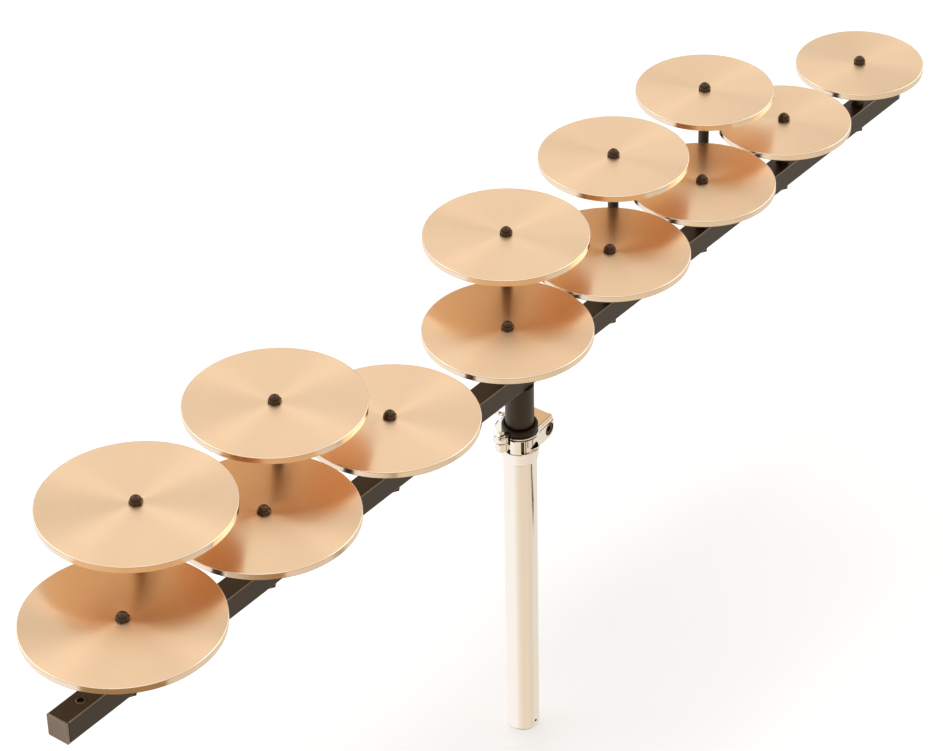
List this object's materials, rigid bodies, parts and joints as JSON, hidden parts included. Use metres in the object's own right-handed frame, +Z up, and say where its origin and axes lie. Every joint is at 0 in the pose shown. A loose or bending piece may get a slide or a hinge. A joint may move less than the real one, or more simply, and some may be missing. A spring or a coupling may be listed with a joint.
{
  "type": "crotales",
  "caption": "Chromatic set of flat round bronze crotales with black cap nuts on a black square bar, on a short chrome stand tube with a hinged height clamp.",
  "frame": {"origin": "centre of the stand tube's lower end, where the base of a stand holds the part", "axes": "+X along the bar to the high notes, +Y from the bar to the sharps behind it, +Z up the mast"},
  "size_m": [0.9406, 0.1747, 0.3968],
  "materials": {
    "bronze": "lathe-turned cast bronze, clear, fine turning lines round the centre",
    "black_paint": "satin black powder coat",
    "black_nut": "smooth black plated steel",
    "chrome": "bright chrome plate",
    "black_nylon": "moulded black nylon"
  },
  "bodies": {
    "stand": {"stand_tube": "chrome", "clamp_body": "chrome", "clamp_hinge_pin": "chrome"},
    "jaw": {"clamp_jaw": "chrome", "clamp_bolt": "chrome"},
    "wing_nut": {"clamp_wing_nut": "chrome"},
    "bushing": {"clamp_bushing": "black_nylon"},
    "rack": {"nut_c_low": "black_nut", "post_c_low": "black_paint", "post_screw_c_low": "black_nut", "nut_c_sharp": "black_nut", "rod_c_sharp": "black_paint", "nut_d": "black_nut", "post_d": "black_paint", "post_screw_d": "black_nut", "nut_d_sharp": "black_nut", "rod_d_sharp": "black_paint", "nut_e": "black_nut", "post_e": "black_paint", "post_screw_e": "black_nut", "nut_f": "black_nut", "post_f": "black_paint", "post_screw_f": "black_nut", "nut_f_sharp": "black_nut", "rod_f_sharp": "black_paint", "nut_g": "black_nut", "post_g": "black_paint", "post_screw_g": "black_nut", "nut_g_sharp": "black_nut", "rod_g_sharp": "black_paint", "nut_a": "black_nut", "post_a": "black_paint", "post_screw_a": "black_nut", "nut_a_sharp": "black_nut", "rod_a_sharp": "black_paint", "nut_b": "black_nut", "post_b": "black_paint", "post_screw_b": "black_nut", "nut_c_high": "black_nut", "post_c_high": "black_paint", "post_screw_c_high": "black_nut", "bar": "black_paint", "end_plug_low": "black_paint", "end_plug_high": "black_paint", "plug_screw_low": "black_nut", "plug_screw_high": "black_nut", "mast": "black_paint"},
    "disc_c_low": {"crotale_c_low": "bronze"},
    "disc_c_sharp": {"crotale_c_sharp": "bronze"},
    "disc_d": {"crotale_d": "bronze"},
    "disc_d_sharp": {"crotale_d_sharp": "bronze"},
    "disc_e": {"crotale_e": "bronze"},
    "disc_f": {"crotale_f": "bronze"},
    "disc_f_sharp": {"crotale_f_sharp": "bronze"},
    "disc_g": {"crotale_g": "bronze"},
    "disc_g_sharp": {"crotale_g_sharp": "bronze"},
    "disc_a": {"crotale_a": "bronze"},
    "disc_a_sharp": {"crotale_a_sharp": "bronze"},
    "disc_b": {"crotale_b": "bronze"},
    "disc_c_high": {"crotale_c_high": "bronze"}
  },
  "joints": [
    {"name": "rack_swivel", "type": "hinge", "parent": "stand", "child": "bushing", "pos_m": [0, 0, 0.265], "axis": [0, 0, 1], "continuous": true},
    {"name": "rack_height", "type": "slide", "parent": "bushing", "child": "rack", "axis": [0, 0, 1], "range_m": [-0.03, 0.15]},
    {"name": "jaw_hinge", "type": "hinge", "parent": "stand", "child": "jaw", "pos_m": [-0.0162, 0.0035, 0.263], "axis": [0, 0, 1], "range_deg": [-1.5, 0]},
    {"name": "wing_nut_turn", "type": "hinge", "parent": "jaw", "child": "wing_nut", "pos_m": [0.01671, 0.01901, 0.2629], "axis": [-0.0698, 0.9976, 0], "continuous": true},
    {"name": "spin_c_low", "type": "hinge", "parent": "rack", "child": "disc_c_low", "pos_m": [-0.3986, 0, 0.3591], "axis": [0, 0, 1], "continuous": true},
    {"name": "spin_c_sharp", "type": "hinge", "parent": "rack", "child": "disc_c_sharp", "pos_m": [-0.3341, 0.0451, 0.3881], "axis": [0, 0, 1], "continuous": true},
    {"name": "spin_d", "type": "hinge", "parent": "rack", "child": "disc_d", "pos_m": [-0.2663, 0, 0.3591], "axis": [0, 0, 1], "continuous": true},
    {"name": "spin_d_sharp", "type": "hinge", "parent": "rack", "child": "disc_d_sharp", "pos_m": [-0.201, 0.0451, 0.3881], "axis": [0, 0, 1], "continuous": true},
    {"name": "spin_e", "type": "hinge", "parent": "rack", "child": "disc_e", "pos_m": [-0.1395, 0, 0.3591], "axis": [0, 0, 1], "continuous": true},
    {"name": "spin_f", "type": "hinge", "parent": "rack", "child": "disc_f", "pos_m": [-0.0122, 0, 0.3591], "axis": [0, 0, 1], "continuous": true},
    {"name": "spin_f_sharp", "type": "hinge", "parent": "rack", "child": "disc_f_sharp", "pos_m": [0.0454, 0.0451, 0.3881], "axis": [0, 0, 1], "continuous": true},
    {"name": "spin_g", "type": "hinge", "parent": "rack", "child": "disc_g", "pos_m": [0.1056, 0, 0.3591], "axis": [0, 0, 1], "continuous": true},
    {"name": "spin_g_sharp", "type": "hinge", "parent": "rack", "child": "disc_g_sharp", "pos_m": [0.1717, 0.0451, 0.3881], "axis": [0, 0, 1], "continuous": true},
    {"name": "spin_a", "type": "hinge", "parent": "rack", "child": "disc_a", "pos_m": [0.2187, 0, 0.3591], "axis": [0, 0, 1], "continuous": true},
    {"name": "spin_a_sharp", "type": "hinge", "parent": "rack", "child": "disc_a_sharp", "pos_m": [0.2857, 0.0451, 0.3881], "axis": [0, 0, 1], "continuous": true},
    {"name": "spin_b", "type": "hinge", "parent": "rack", "child": "disc_b", "pos_m": [0.3246, 0, 0.3591], "axis": [0, 0, 1], "continuous": true},
    {"name": "spin_c_high", "type": "hinge", "parent": "rack", "child": "disc_c_high", "pos_m": [0.4277, 0, 0.3591], "axis": [0, 0, 1], "continuous": true}
  ]
}
